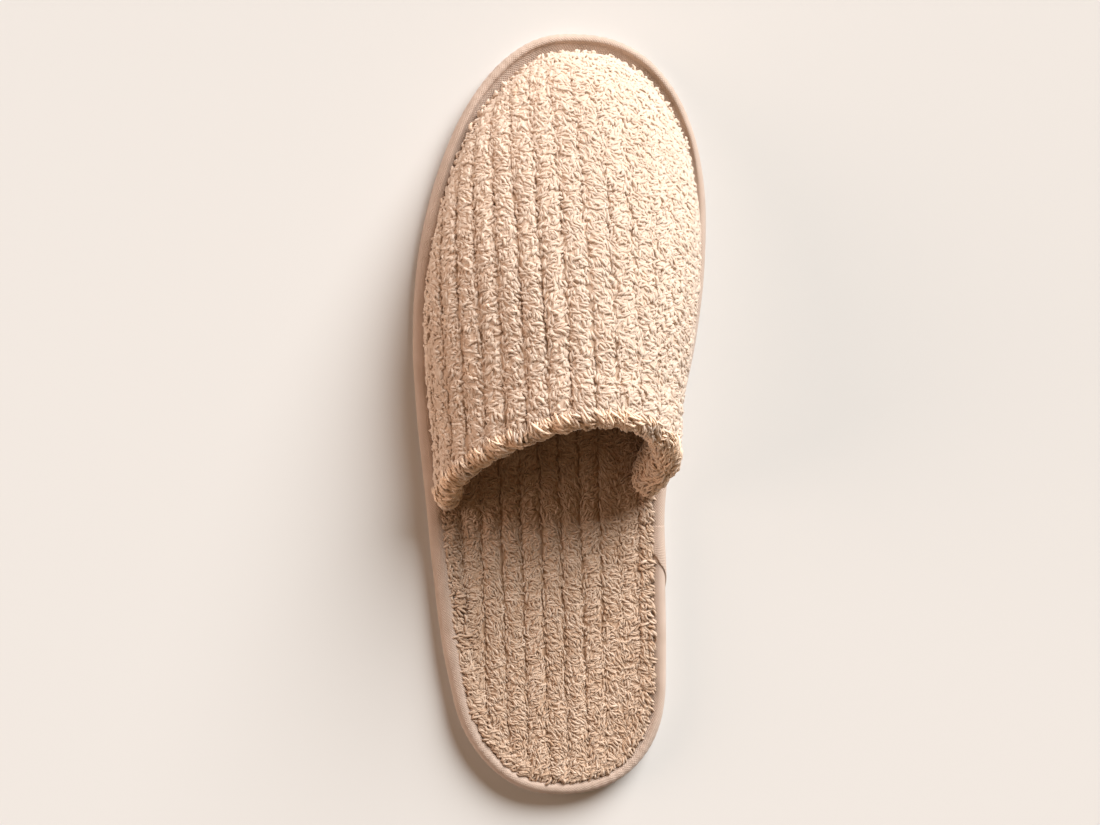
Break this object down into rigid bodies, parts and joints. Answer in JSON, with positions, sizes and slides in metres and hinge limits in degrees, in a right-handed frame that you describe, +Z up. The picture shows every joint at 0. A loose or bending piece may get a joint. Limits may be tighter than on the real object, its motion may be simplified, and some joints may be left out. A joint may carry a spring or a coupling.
{
  "type": "hotel slipper",
  "caption": "Closed-toe, open-heel hotel slipper for the left foot, with a ribbed plush upper and insole, cloth edge binding and a thin foam outsole.",
  "frame": {"origin": "on the floor, under the middle of the slipper's box", "axes": "+Y towards the toe, +X towards the inner side of the foot, +Z up; the slipper stands on the plane Z = 0"},
  "size_m": [0.11, 0.285, 0.0611],
  "materials": {
    "outsole_foam": "matt off-white foam sheet with a shallow embossed herringbone tread",
    "insole_plush": "ribbed beige plush pile",
    "binding_tape": "plain woven beige bias tape",
    "upper_plush": "ribbed beige plush pile, folded over at the collar"
  },
  "bodies": {
    "root": {"outsole": "outsole_foam", "insole": "insole_plush", "binding": "binding_tape", "upper": "upper_plush"}
  },
  "joints": []
}
